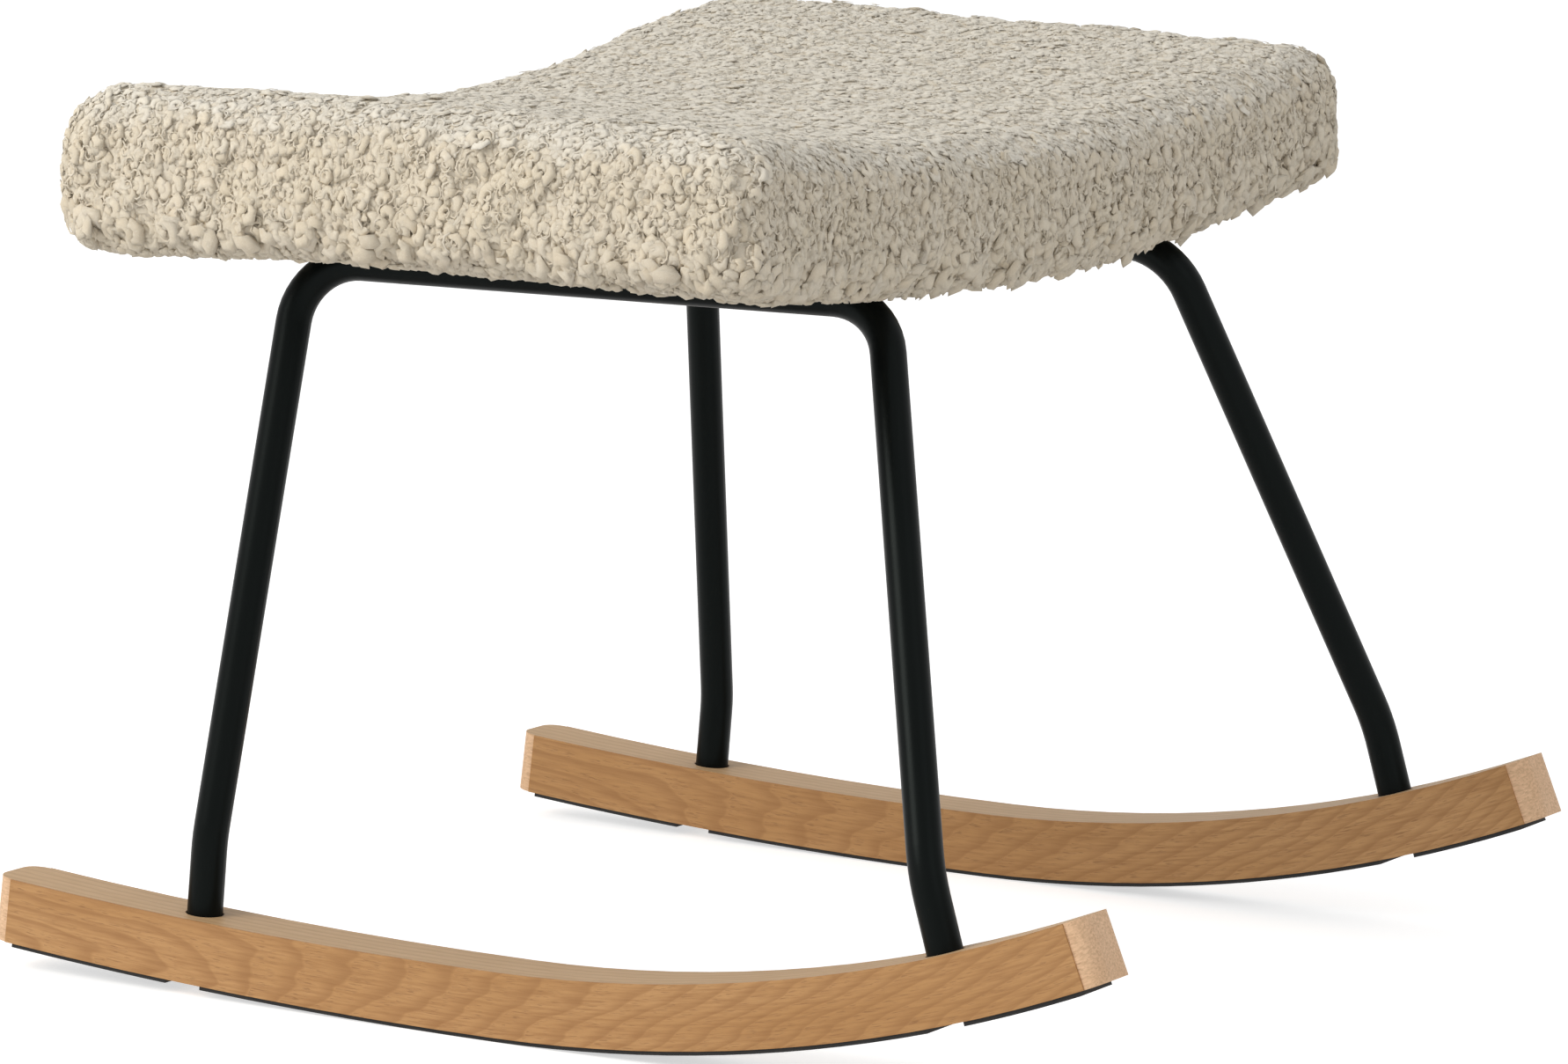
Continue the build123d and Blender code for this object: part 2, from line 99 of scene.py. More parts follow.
def bent_grain_group():
    """Growth rings, fibre and pores of a board bent to the sole's two sweeps."""
    group = bpy.data.node_groups.new("bent_grain", "ShaderNodeTree")
    for name in ("Trunk Height", "Height Slope", "Trunk Depth", "Depth Slope", "Ring Pitch"):
        group.interface.new_socket(name, in_out="INPUT", socket_type="NodeSocketFloat")
    for name in ("Rings", "Fibre", "Pores", "Drift"):
        group.interface.new_socket(name, in_out="OUTPUT", socket_type="NodeSocketFloat")
    given = group.nodes.new("NodeGroupInput").outputs
    result = group.nodes.new("NodeGroupOutput").inputs

    spot = place(group, "ShaderNodeTexCoord").outputs["Object"]
    x, y, z = place(group, "ShaderNodeSeparateXYZ", Vector=spot).outputs
    ahead = reckon(group, "SUBTRACT", x, touch_line_x)
    in_front = reckon(group, "GREATER_THAN", ahead, 0.0)
    radius = reckon(group, "MULTIPLY_ADD", in_front, front_sweep_radius - rear_sweep_radius, rear_sweep_radius)
    leg = reckon(group, "SUBTRACT", reckon(group, "MULTIPLY", radius, radius), reckon(group, "MULTIPLY", ahead, ahead))
    rise = reckon(group, "SUBTRACT", radius, reckon(group, "SQRT", leg))
    height = reckon(group, "SUBTRACT", z, rise)

    slow = place(group, "ShaderNodeCombineXYZ", X=reckon(group, "MULTIPLY", x, 6.0),
                 Y=reckon(group, "MULTIPLY", y, 30.0), Z=reckon(group, "MULTIPLY", height, 30.0)).outputs[0]
    drift = place(group, "ShaderNodeTexNoise", Vector=slow, Scale=1.0, Detail=3.0, Roughness=0.55).outputs[0]
    off_axis = reckon(group, "MULTIPLY_ADD", x, given["Depth Slope"], given["Trunk Depth"])
    up = reckon(group, "SUBTRACT", height,
                reckon(group, "MULTIPLY_ADD", x, given["Height Slope"], given["Trunk Height"]))
    from_middle = reckon(group, "SUBTRACT", reckon(group, "ABSOLUTE", y), rocker_middle_y)
    side = reckon(group, "ADD", reckon(group, "ABSOLUTE", from_middle), off_axis)
    reach = reckon(group, "SQRT", reckon(group, "ADD", reckon(group, "MULTIPLY", up, up),
                                          reckon(group, "MULTIPLY", side, side)))
    wandering = reckon(group, "MULTIPLY_ADD", drift, 0.016, reach)
    ring = reckon(group, "FRACT", reckon(group, "DIVIDE", wandering, given["Ring Pitch"]))
    late = reckon(group, "MULTIPLY", ramp_between(group, ring, 0.4, 0.9),
                  reckon(group, "SUBTRACT", 1.0, ramp_between(group, ring, 0.9, 1.0)))

    fine = place(group, "ShaderNodeCombineXYZ", X=reckon(group, "MULTIPLY", x, 55.0),
                 Y=reckon(group, "MULTIPLY", y, 800.0), Z=reckon(group, "MULTIPLY", height, 800.0)).outputs[0]
    fibre = place(group, "ShaderNodeTexNoise", Vector=fine, Scale=1.0, Detail=4.0, Roughness=0.6).outputs[0]
    dashes = place(group, "ShaderNodeCombineXYZ", X=reckon(group, "MULTIPLY", x, 170.0),
                   Y=reckon(group, "MULTIPLY", y, 1900.0), Z=reckon(group, "MULTIPLY", height, 1900.0)).outputs[0]
    pore = place(group, "ShaderNodeTexNoise", Vector=dashes, Scale=1.0, Detail=1.0).outputs[0]
    pores = reckon(group, "MULTIPLY", ramp_between(group, pore, 0.58, 0.68),
                   reckon(group, "SUBTRACT", 1.0, ramp_between(group, ring, 0.3, 0.6)))
    for name, value in (("Rings", late), ("Fibre", fibre), ("Pores", pores), ("Drift", drift)):
        group.links.new(value, result[name])
    return group


bent_grain = bent_grain_group()


def oiled_wood(name, pale, deep, line, pore, trunk, ring_pitch, line_share, roughness, ply_pitch=None):
    """Oiled wood: rings darken it in lines, fibre streaks it and pores score it. Plies line its bent faces."""
    made, tree, shader = new_material(name)
    height, height_slope, depth, depth_slope = trunk
    grain = place(tree, "ShaderNodeGroup", {"node_tree": bent_grain}, Trunk_Height=height, Height_Slope=height_slope,
                  Trunk_Depth=depth, Depth_Slope=depth_slope, Ring_Pitch=ring_pitch).outputs
    ground = blend_colours(tree, ramp_between(tree, grain["Drift"], 0.3, 0.7), (*pale, 1), (*deep, 1))
    streaks = ramp_between(tree, grain["Fibre"], 0.35, 0.72)
    streaked = blend_colours(tree, reckon(tree, "MULTIPLY", streaks, 0.55), ground, (*line, 1))
    ringed = blend_colours(tree, reckon(tree, "MULTIPLY", grain["Rings"], line_share), streaked, (*line, 1))
    pored = blend_colours(tree, reckon(tree, "MULTIPLY", grain["Pores"], 0.45), ringed, (*pore, 1))
    if ply_pitch:
        spot = place(tree, "ShaderNodeTexCoord").outputs["Object"]
        across = reckon(tree, "ABSOLUTE", place(tree, "ShaderNodeSeparateXYZ", Vector=spot).outputs["Y"])
        uneven = reckon(tree, "MULTIPLY_ADD", grain["Drift"], 0.004, across)
        ply = reckon(tree, "FRACT", reckon(tree, "DIVIDE", uneven, ply_pitch))
        glue = reckon(tree, "MULTIPLY", ramp_between(tree, ply, 0.45, 0.85),
                      reckon(tree, "SUBTRACT", 1.0, ramp_between(tree, ply, 0.85, 1.0)))
        upward = place(tree, "ShaderNodeSeparateXYZ",
                       Vector=place(tree, "ShaderNodeNewGeometry").outputs["Normal"]).outputs["Z"]
        on_top = ramp_between(tree, upward, 0.4, 0.9)
        lined = blend_colours(tree, reckon(tree, "MULTIPLY", on_top, 0.7), pored, (0.51, 0.34, 0.17, 1))
        pored = blend_colours(tree, reckon(tree, "MULTIPLY", glue, reckon(tree, "MULTIPLY_ADD", on_top, 0.44, 0.06)),
                              lined, (*line, 1))
    tree.links.new(pored, shader.inputs["Base Color"])
    dull = reckon(tree, "MULTIPLY_ADD", grain["Fibre"], 0.16, roughness - 0.08)
    tree.links.new(dull, shader.inputs["Roughness"])
    relief = reckon(tree, "SUBTRACT", reckon(tree, "MULTIPLY", grain["Fibre"], 0.4), grain["Pores"])
    bump = place(tree, "ShaderNodeBump", Strength=0.25, Distance=0.0004, Height=relief)
    tree.links.new(bump.outputs[0], shader.inputs["Normal"])
    shader.inputs["Specular IOR Level"].default_value = 0.35
    return made


def wear(material, *names):
    """CAD pieces take a finish."""
    for name in names:
        mesh = nodes[name].data
        mesh.materials.clear()
        mesh.materials.append(material)


core_wood = oiled_wood("rocker_core", pale=(0.85, 0.57, 0.36), deep=(0.79, 0.51, 0.305), line=(0.44, 0.265, 0.14),
                       pore=(0.38, 0.22, 0.12), trunk=(-0.05, 0.0, 0.03, 0.01), ring_pitch=0.0019, line_share=0.16,
                       roughness=0.55, ply_pitch=0.0062)
veneer_wood = oiled_wood("rocker_veneer", pale=(0.54, 0.30, 0.125), deep=(0.475, 0.25, 0.092), line=(0.32, 0.15, 0.052),
                         pore=(0.22, 0.10, 0.035), trunk=(0.046, 0.20, 0.052, 0.17), ring_pitch=0.0048, line_share=0.5,
                         roughness=0.5)
wear(core_wood, "right_rocker", "left_rocker")
wear(veneer_wood, "right_rocker_veneers", "left_rocker_veneers")


# Grip strips: 2 mm black rubber strip, glued along the sole in three lengths a side and parted
# where the foot screws go in.
rubber, tree, shader = new_material("strip_rubber")
spot = place(tree, "ShaderNodeTexCoord").outputs["Object"]
specks = place(tree, "ShaderNodeTexNoise", Vector=spot, Scale=900.0, Detail=2.0).outputs[0]
scuffs = place(tree, "ShaderNodeTexNoise", Vector=spot, Scale=40.0, Detail=4.0).outputs[0]
scuffed = blend_colours(tree, ramp_between(tree, scuffs, 0.5, 0.8), (0.012, 0.012, 0.012, 1), (0.03, 0.029, 0.027, 1))
tree.links.new(scuffed, shader.inputs["Base Color"])
tree.links.new(reckon(tree, "MULTIPLY_ADD", scuffs, 0.2, 0.65), shader.inputs["Roughness"])
bump = place(tree, "ShaderNodeBump", Strength=0.3, Distance=0.0003, Height=specks)
tree.links.new(bump.outputs[0], shader.inputs["Normal"])
for side in ("right", "left"):
    wear(rubber, *(f"{side}_{length}_grip_strip" for length in ("rear", "middle", "front")))


# Leg frames: one 16 mm steel tube a side, bent cold and sprayed satin black. The coat has a fine
# orange-peel skin, and dulls a little in patches.
tube_paint, tree, shader = new_material("tube_paint")
spot = place(tree, "ShaderNodeTexCoord").outputs["Object"]
peel = place(tree, "ShaderNodeTexNoise", Vector=spot, Scale=650.0, Detail=2.0).outputs[0]
haze = place(tree, "ShaderNodeTexNoise", Vector=spot, Scale=22.0, Detail=3.0).outputs[0]
coat = blend_colours(tree, haze, (0.0018, 0.0024, 0.0023, 1), (0.0030, 0.0037, 0.0036, 1))
tree.links.new(coat, shader.inputs["Base Color"])
tree.links.new(reckon(tree, "MULTIPLY_ADD", haze, 0.12, 0.28), shader.inputs["Roughness"])
shader.inputs["Specular IOR Level"].default_value = 0.08
shader.inputs["Specular Tint"].default_value = (0.86, 1.0, 0.97, 1)
bump = place(tree, "ShaderNodeBump", Strength=0.12, Distance=0.0002, Height=peel)
tree.links.new(bump.outputs[0], shader.inputs["Normal"])
wear(tube_paint, "right_leg_frame", "left_leg_frame")


# Fixings: zinc-plated screws, washers, tee nuts, tube plugs and staples, bright and a little
# mottled from the plating bath.
zinc, tree, shader = new_material("zinc_plate")
spot = place(tree, "ShaderNodeTexCoord").outputs["Object"]
mottle = place(tree, "ShaderNodeTexNoise", Vector=spot, Scale=300.0, Detail=3.0).outputs[0]
plate = blend_colours(tree, mottle, (0.55, 0.55, 0.54, 1), (0.68, 0.68, 0.67, 1))
tree.links.new(plate, shader.inputs["Base Color"])
tree.links.new(reckon(tree, "MULTIPLY_ADD", mottle, 0.25, 0.25), shader.inputs["Roughness"])
shader.inputs["Metallic"].default_value = 1.0
wear(zinc, "hem_staples", "dust_cover_staples", "tee_nuts", "seat_washers", "seat_screws", "foot_screws",
     "foot_washers", "right_foot_plugs", "left_foot_plugs")


# Crossbar saddles and caps: moulded black plastic. The saddles fill between the round tubes and the
# dished shell, and the caps are pressed into the screw holes under the tubes.
saddle_plastic, tree, shader = new_material("saddle_plastic")
spot = place(tree, "ShaderNodeTexCoord").outputs["Object"]
spark = place(tree, "ShaderNodeTexNoise", Vector=spot, Scale=1200.0, Detail=1.0).outputs[0]
tree.links.new(blend_colours(tree, spark, (0.004, 0.004, 0.0043, 1), (0.008, 0.008, 0.0085, 1)),
               shader.inputs["Base Color"])
tree.links.new(reckon(tree, "MULTIPLY_ADD", spark, 0.2, 0.35), shader.inputs["Roughness"])
shader.inputs["Specular IOR Level"].default_value = 0.1
wear(saddle_plastic, "crossbar_saddles", "crossbar_caps")


# Seat shell: bent plywood under the foam, sanded and left raw, with a streaky figure. Its plies along the edge are not
# drawn.
plywood, tree, shader = new_material("shell_plywood")
spot = place(tree, "ShaderNodeTexCoord").outputs["Object"]
long_way = place(tree, "ShaderNodeMapping", Vector=spot, Scale=(12.0, 260.0, 260.0)).outputs[0]
figure = place(tree, "ShaderNodeTexNoise", Vector=long_way, Scale=1.0, Detail=4.0).outputs[0]
raw = blend_colours(tree, figure, (0.60, 0.42, 0.25, 1), (0.72, 0.55, 0.36, 1))
tree.links.new(raw, shader.inputs["Base Color"])
tree.links.new(reckon(tree, "MULTIPLY_ADD", figure, 0.2, 0.6), shader.inputs["Roughness"])
wear(plywood, "seat_shell")


# Dust cover: black spun-bonded cloth stapled to the underside of the shell, inside the fleece hem.
dust_cloth, tree, shader = new_material("dust_cloth")
spot = place(tree, "ShaderNodeTexCoord").outputs["Object"]
spots = place(tree, "ShaderNodeTexVoronoi", {"feature": "F1"}, Vector=spot, Scale=420.0, Randomness=0.15).outputs[0]
strands = place(tree, "ShaderNodeTexNoise", Vector=spot, Scale=700.0, Detail=4.0, Distortion=2.0).outputs[0]
bonded = ramp_between(tree, spots, 0.2, 0.38)
tree.links.new(blend_colours(tree, strands, (0.012, 0.012, 0.013, 1), (0.034, 0.034, 0.036, 1)),
               shader.inputs["Base Color"])
tree.links.new(reckon(tree, "MULTIPLY_ADD", bonded, 0.35, 0.6), shader.inputs["Roughness"])
bump = place(tree, "ShaderNodeBump", Strength=0.6, Distance=0.0004, Height=reckon(tree, "ADD", bonded, strands))
tree.links.new(bump.outputs[0], shader.inputs["Normal"])
wear(dust_cloth, "dust_cover")


# Foam pad: a slab of yellowish cut foam, glued to the shell and hidden by the cover.
def voxel_copy(name, voxel, *sources):
    """The closed outer form of some CAD pieces, as one mesh of even cells."""
    shape = bmesh.new()
    for source in sources:
        shape.from_mesh(nodes[source].data)
    bmesh.ops.remove_doubles(shape, verts=shape.verts, dist=0.00001)
    mesh = bpy.data.meshes.new(name)
    shape.to_mesh(mesh)
    shape.free()
    made = bpy.data.objects.new(name, mesh)
    scene.collection.objects.link(made)
    cells = made.modifiers.new("cells", "REMESH")
    cells.mode = "VOXEL"
    cells.voxel_size = voxel
    apply_modifiers(made)
    made.data.materials.clear()
    return made


def apply_modifiers(piece):
    """The piece's mesh as its modifiers leave it."""
    shaped = bpy.data.meshes.new_from_object(piece.evaluated_get(bpy.context.evaluated_depsgraph_get()))
    piece.modifiers.clear()
    piece.data = shaped


def points_of(mesh):
    """Every point of a mesh, as rows of x, y, z."""
    found = np.empty(len(mesh.vertices) * 3, np.float32)
    mesh.vertices.foreach_get("co", found)
    return found.reshape(-1, 3).astype(float)


def normals_of(mesh):
    """The direction that each point of a mesh faces."""
    found = np.empty(len(mesh.vertices) * 3, np.float32)
    mesh.vertex_normals.foreach_get("vector", found)
    return found.reshape(-1, 3).astype(float)


def move_points(mesh, places):
    """Puts a mesh's points at these places."""
    mesh.vertices.foreach_set("co", places.astype(np.float32).ravel())
    mesh.update()


def step_up(values, low, high):
    """0 below low, 1 above high, and straight between them."""
    return np.clip((values - low) / (high - low), 0, 1)


seat_lean = 0.0095


def settle(mesh):
    """The stuffing has settled a little towards the right side, and the shell below it is level."""
    places = points_of(mesh)
    places[:, 2] += seat_lean * places[:, 1] * step_up(normals_of(mesh)[:, 2], -0.6, -0.2)
    move_points(mesh, places)


foam = voxel_copy("foam_block", 0.006, "foam_pad")
soften = foam.modifiers.new("soften", "SMOOTH")
soften.iterations = 3
apply_modifiers(foam)
settle(foam.data)
foam_material, tree, shader = new_material("cut_foam")
spot = place(tree, "ShaderNodeTexCoord").outputs["Object"]
cells = place(tree, "ShaderNodeTexVoronoi", {"feature": "F1"}, Vector=spot, Scale=700.0).outputs[0]
tree.links.new(blend_colours(tree, cells, (0.86, 0.80, 0.62, 1), (0.70, 0.63, 0.45, 1)), shader.inputs["Base Color"])
shader.inputs["Roughness"].default_value = 0.95
bump = place(tree, "ShaderNodeBump", Strength=0.5, Distance=0.0006, Height=cells)
tree.links.new(bump.outputs[0], shader.inputs["Normal"])
foam.data.materials.append(foam_material)
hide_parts("foam_pad")
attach(foam, "root")


# Fleece cover: cream curly pile on a knitted back, sewn with a seam down each corner, drawn over
# the foam and stapled under the shell. The pile is brushed flat on top and hangs in curls below.
cell = 0.005
knit_rise = 0.0014
knit_thickness = 0.002
swell_limit = 0.002
swell_frames = 20
rear_bulge = 0.005
front_bulge = 0.002
near_droop = 0.004
far_lift = 0.001
front_droop = 0.007
rear_corner_droop = 0.007
rear_edge_rise = 0.0055
rear_edge_dip = 0.0025
corner_tuck = 0.005
underside_z = -0.6
lump_size = 0.0012
seam_sink = 0.0015
pile_seam_sink = 0.0025
pile_height = 0.0045
lock_scatter = 0.0018
hem_gap = 0.007
cover = voxel_copy("fleece_pad", cell, "fleece_cover", "seat_shell", "dust_cover")
seat_low, seat_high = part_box("fleece_cover")
seat_middle = (seat_low + seat_high) / 2
hem_low, hem_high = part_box("dust_cover")

stuffed = cover.modifiers.new("stuffed", "SMOOTH")
stuffed.iterations = 6
apply_modifiers(cover)
settle(cover.data)
facing = normals_of(cover.data)
free = step_up(facing[:, 2], -0.75, -0.35)
knit = points_of(cover.data) + facing * (knit_rise * free)[:, None]

# The filling bellies out at both ends, the rim hangs below and the rear edge is stuffed unevenly.
belly = 1 - np.clip((knit[:, 2] - seat_middle.z) / 0.045, -1, 1) ** 4
knit[:, 0] += belly * (front_bulge * step_up(facing[:, 0], 0.3, 0.9) - rear_bulge * step_up(-facing[:, 0], 0.3, 0.9))
droop = step_up(-facing[:, 2], -0.3, 0.5) * step_up(seat_low.z + 0.035 - knit[:, 2], 0, 0.03)
outer = step_up(np.abs(knit[:, 1] - seat_middle.y), 0.255, 0.285)
front_rim = step_up(knit[:, 0], seat_high.x - 0.03, seat_high.x - 0.01) * step_up(-knit[:, 1], -0.2, -0.05)
rear_corner = step_up(-knit[:, 0], -seat_low.x - 0.13, -seat_low.x - 0.02) * step_up(-knit[:, 1], 0.22, 0.27)
knit[:, 2] -= rear_corner_droop * droop * rear_corner
rear_edge = step_up(-knit[:, 0], 0.06, 0.14) * step_up(knit[:, 2], seat_middle.z, seat_middle.z + 0.02)
uneven = (rear_edge_rise * np.exp(-((knit[:, 1] - 0.205) / 0.075) ** 2)
          - rear_edge_dip * np.exp(-(knit[:, 1] / 0.04) ** 2))
knit[:, 2] += uneven * rear_edge
side_droop = np.where(knit[:, 1] < seat_middle.y, near_droop, -far_lift)
knit[:, 2] -= droop * np.maximum(outer * side_droop, front_droop * front_rim)
tuck = (step_up(seat_middle.z - knit[:, 2], 0, 0.03) * step_up(knit[:, 0], seat_high.x - 0.05, seat_high.x - 0.01)
        * step_up(knit[:, 1], 0.22, 0.27))
knit[:, :2] -= corner_tuck * tuck[:, None]
move_points(cover.data, knit)


def swell_cover():
    """The filling presses the cover out, apart from where the shell holds it."""
    held = cover.vertex_groups.new(name="held")
    for index in np.flatnonzero(free < 0.5):
        held.add([int(index)], 1.0, "REPLACE")
    cloth = cover.modifiers.new("filling", "CLOTH")
    cloth.settings.quality = 4
    cloth.settings.mass = 0.2
    cloth.settings.tension_stiffness = 20
    cloth.settings.compression_stiffness = 20
    cloth.settings.use_pressure = True
    cloth.settings.uniform_pressure_force = 4
    cloth.settings.vertex_group_mass = "held"
    cloth.settings.effector_weights.gravity = 0
    cloth.point_cache.frame_start = 1
    cloth.point_cache.frame_end = swell_frames
    for step in range(1, swell_frames + 1):
        scene.frame_set(step)
    apply_modifiers(cover)
    scene.frame_set(1)
    moved = points_of(cover.data) - knit
    distance = np.linalg.norm(moved, axis=1, keepdims=True)
    move_points(cover.data, knit + moved * np.minimum(1, swell_limit / np.maximum(distance, 1e-9)))


swell_cover()

back = bmesh.new()
back.from_mesh(cover.data)
for corner in (hem_low, hem_high):
    for direction in (Vector((1, 0, 0)), Vector((0, 1, 0))):
        under = [face for face in back.faces if face.normal.z < underside_z]
        rim = {edge for face in under for edge in face.edges} | {vert for face in under for vert in face.verts}
        bmesh.ops.bisect_plane(back, geom=[*under, *rim], dist=0.00001, plane_co=corner, plane_no=direction)
opening = [face for face in back.faces if face.normal.z < underside_z
           and hem_low.x < face.calc_center_median().x < hem_high.x
           and hem_low.y < face.calc_center_median().y < hem_high.y]
bmesh.ops.delete(back, geom=opening, context="FACES")
back.to_mesh(cover.data)
back.free()

draw = np.random.default_rng(23)


def soft_waves(places, wavelength, count):
    """Smooth uneven rises and dips, from about -1 to 1."""
    total = np.zeros(len(places))
    for _ in range(count):
        heading = draw.normal(size=3)
        heading *= 2 * math.pi / (wavelength * draw.uniform(0.7, 1.4) * np.linalg.norm(heading))
        total += np.sin(places @ heading + draw.uniform(0, 2 * math.pi))
    return total / math.sqrt(count)


def brushed_flat(out):
    """1 where the pile lies flat on top, 0 where it stands or hangs."""
    return step_up(out[:, 2], 0.35, 0.8)


roots = points_of(cover.data)
facing = normals_of(cover.data)
lower_rim = step_up(-facing[:, 2], 0.0, 0.35) * step_up(facing[:, 2], -0.8, -0.6)
lump_height = lump_size * (1 - 0.55 * brushed_flat(facing) + 1.2 * lower_rim) * step_up(facing[:, 2], -0.8, -0.5)


def near_seam(places, out, reach):
    """1 on the corner seams of the cover, and 0 further off than about twice the reach."""
    close = np.zeros(places.shape[:-1])
    for seam_x in (seat_low.x, seat_high.x):
        for seam_y in (seat_low.y, seat_high.y):
            in_x, in_y = np.abs(places[..., 0] - seam_x), np.abs(places[..., 1] - seam_y)
            close += (in_x < 0.04) * (in_y < 0.04) * np.exp(-((in_x - in_y) / reach) ** 2)
    return close * step_up(-np.abs(out[..., 2]), -0.8, -0.5)


seam = near_seam(roots, facing, 0.0035)
lumps = soft_waves(roots, 0.024, 9) + 0.8 * soft_waves(roots, 0.012, 9)
roots += facing * (lump_height * lumps - seam_sink * seam)[:, None]
move_points(cover.data, roots)
facing = normals_of(cover.data)
thickness = cover.modifiers.new("thickness", "SOLIDIFY")
thickness.thickness = knit_thickness
thickness.offset = -1
apply_modifiers(cover)


def curl_lock(turn, curl_radius, girth, rise, steps):
    """One lock of wool: a four-sided strand, thin at both ends, drawn round into a curl."""
    lock = bmesh.new()
    upright = Matrix.Translation((curl_radius, 0, 0)) @ Matrix.Rotation(math.pi / 2, 4, "X")
    bmesh.ops.create_circle(lock, cap_ends=True, segments=4, radius=girth * 0.5, matrix=upright)
    lock.faces.ensure_lookup_table()
    tip = lock.faces[0]
    for step in range(1, steps + 1):
        tip = bmesh.ops.extrude_discrete_faces(lock, faces=[tip])["faces"][0]
        bmesh.ops.rotate(lock, verts=tip.verts, cent=(0, 0, 0), matrix=Matrix.Rotation(turn / steps, 3, "Z"))
        bmesh.ops.translate(lock, verts=tip.verts, vec=(0, 0, rise / steps))
        fuller = {1: 2.0, steps - 1: 0.8, steps: 0.5}.get(step, 1.0)
        bmesh.ops.scale(lock, verts=tip.verts, vec=(fuller,) * 3, space=Matrix.Translation(-tip.calc_center_median()))
    bmesh.ops.holes_fill(lock, edges=lock.edges, sides=4)
    bmesh.ops.recalc_face_normals(lock, faces=lock.faces)
    lock.verts.index_update()
    places = np.array([vert.co for vert in lock.verts])
    sides = np.array([[vert.index for vert in face.verts] for face in lock.faces])
    lock.free()
    return places, sides


def turned_about(axis, angle, places):
    """Points of each lock turned about its own axis."""
    axis, angle = axis[:, None, :], angle[:, None, None]
    return (places * np.cos(angle) + np.cross(axis, places) * np.sin(angle)
            + axis * (places * axis).sum(2, keepdims=True) * (1 - np.cos(angle)))


def grow(lock, at, out, size, lean, lift):
    """Copies of a lock on the knit: points, sides, place in the pile (height, tint, brushed) and way out."""
    shape, sides = lock
    many = len(at)
    flat = brushed_flat(out)
    hang = np.array((0.0, 0.0, -1.0)) + out * out[:, 2:3] + draw.normal(scale=0.05, size=(many, 3))
    hang -= out * (hang * out).sum(1, keepdims=True)
    hang /= np.linalg.norm(hang, axis=1, keepdims=True)
    over = np.cross(out, hang)
    upright = np.tile((0.0, 0.0, 1.0), (many, 1))
    placed = np.repeat(shape[None], many, 0) * (size * draw.uniform(0.8, 1.3, many))[:, None, None]
    placed = turned_about(upright, draw.uniform(0, 2 * math.pi, many), placed)
    way = draw.uniform(0, 2 * math.pi, many)
    sideways = np.stack([np.cos(way), np.sin(way), np.zeros(many)], 1)
    placed = turned_about(sideways, draw.normal(scale=lean, size=many) * (1 - 0.65 * flat), placed)
    placed *= np.stack([1.25 - 0.25 * flat, np.ones(many), 0.75 - 0.38 * flat], 1)[:, None, :]
    placed[:, :, :2] += draw.normal(scale=lock_scatter, size=(many, 1, 2))
    placed[:, :, 2] += (draw.uniform(*lift, many) * (1 - 0.4 * flat))[:, None]
    height = placed[:, :, 2]
    spots = at[:, None, :] + (hang[:, None, :] * placed[:, :, :1] + over[:, None, :] * placed[:, :, 1:2]
                              + out[:, None, :] * placed[:, :, 2:])
    sewn = near_seam(spots, out[:, None, :], 0.0016)
    spots -= out[:, None, :] * (pile_seam_sink * sewn)[:, :, None]
    tint = np.broadcast_to(draw.uniform(0, 1, (many, 1)), height.shape)
    # Painted shade: the seams get no height in the pile, so the fleece shader paints them in its dark root shade.
    tip = np.clip(height / pile_height + 0.3, 0, 1) * (1 - sewn)
    pile = np.stack([tip, tint, np.broadcast_to(flat[:, None], height.shape)], 2)
    outward = np.broadcast_to(out[:, None, :], spots.shape)
    starts = np.arange(many)[:, None, None] * len(shape)
    return (spots.reshape(-1, 3), (sides[None] + starts).reshape(-1, 4), pile.reshape(-1, 3), outward.reshape(-1, 3))


tufts = [curl_lock(1.4 * math.pi, 0.0019, 0.0023, 0.0010, 4), curl_lock(1.2 * math.pi, 0.0024, 0.0021, 0.0008, 4),
         curl_lock(1.7 * math.pi, 0.0016, 0.0018, 0.0014, 5)]
wisps = [curl_lock(1.4 * math.pi, 0.0016, 0.0004, 0.0008, 4), curl_lock(1.0 * math.pi, 0.0024, 0.0004, 0.0006, 4)]
lock_size = (1 - 0.3 * seam) * (1 + 0.5 * lower_rim)
grown = [(points_of(cover.data), None, np.tile((0.5, 0.5, 0.3), (len(cover.data.vertices), 1)), normals_of(cover.data))]
from_hem = np.maximum.reduce([hem_low.x - roots[:, 0], roots[:, 0] - hem_high.x,
                              hem_low.y - roots[:, 1], roots[:, 1] - hem_high.y])
shown = np.where((facing[:, 2] < underside_z) & (from_hem < hem_gap), 0.0, 1.0)
for locks, share, lean, lift in ((tufts, shown, 0.45, (-0.0012, 0.0002)),
                                 (tufts, 0.8 * shown, 0.45, (-0.0014, 0.0)),
                                 (wisps, step_up(facing[:, 2], -0.5, -0.1), 0.3, (0.0003, 0.0014))):
    chosen = np.where(draw.uniform(size=len(roots)) < share, draw.choice(len(locks), len(roots)), -1)
    for number, lock in enumerate(locks):
        these = chosen == number
        grown.append(grow(lock, roots[these], facing[these], lock_size[these], lean, lift))

fleece_sides = [tuple(face.vertices) for face in cover.data.polygons]
count = len(cover.data.vertices)
for spots, sides, _, _ in grown[1:]:
    fleece_sides += (sides + count).tolist()
    count += len(spots)
fleece_mesh = bpy.data.meshes.new("fleece_pad")
fleece_mesh.from_pydata(np.concatenate([lot[0] for lot in grown]), [], fleece_sides)
fleece_mesh.polygons.foreach_set("use_smooth", np.ones(len(fleece_mesh.polygons), bool))
for name, column in (("pile", 2), ("outward", 3)):
    layer = fleece_mesh.attributes.new(name, "FLOAT_VECTOR", "POINT")
    layer.data.foreach_set("vector", np.concatenate([lot[column] for lot in grown]).astype(np.float32).ravel())
fleece_mesh.update()
cover.data = fleece_mesh

